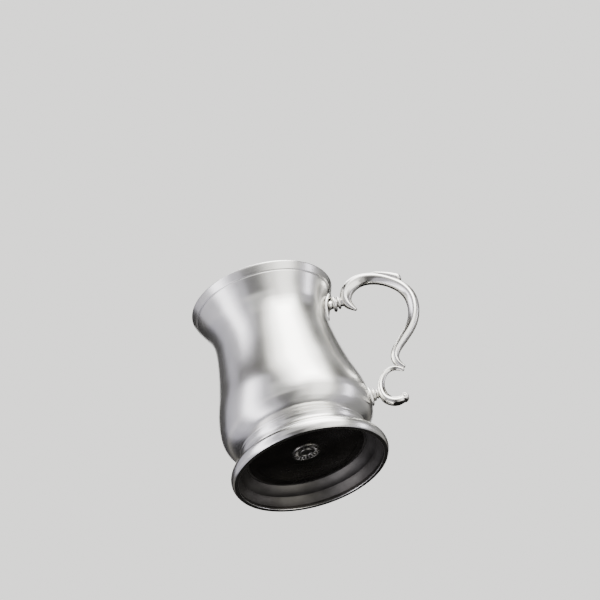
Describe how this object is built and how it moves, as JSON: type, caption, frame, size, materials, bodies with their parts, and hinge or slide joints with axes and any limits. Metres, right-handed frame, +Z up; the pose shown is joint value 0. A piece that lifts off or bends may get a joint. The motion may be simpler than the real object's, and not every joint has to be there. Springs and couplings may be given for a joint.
{
  "type": "pewter tankard",
  "caption": "Waisted pewter tankard with a flared lip, spreading moulded foot, recessed base and an open double-scroll handle on turned struts.",
  "frame": {"origin": "on the cup's axis, at the plane the foot stands on", "axes": "+Z up along the cup's axis, +X towards the handle, +Y to the left of the handle seen from behind it"},
  "size_m": [0.147, 0.1012, 0.128],
  "materials": {
    "body_satin": "satin pewter",
    "foot_polish": "polished pewter",
    "base_polish": "turned and polished pewter",
    "handle_polish": "cast and polished pewter"
  },
  "bodies": {
    "root": {"barrel": "body_satin", "bowl": "body_satin", "foot_ring": "foot_polish", "base_plate": "base_polish", "base_medallion": "base_polish", "handle_scroll": "handle_polish", "lower_scroll": "handle_polish", "scroll_knob": "handle_polish", "thumb_leaf": "handle_polish", "upper_plate": "handle_polish", "upper_collar": "handle_polish", "upper_bead": "handle_polish", "upper_strut": "handle_polish", "lower_plate": "handle_polish", "lower_collar": "handle_polish", "lower_bead": "handle_polish", "lower_strut": "handle_polish"}
  },
  "joints": []
}
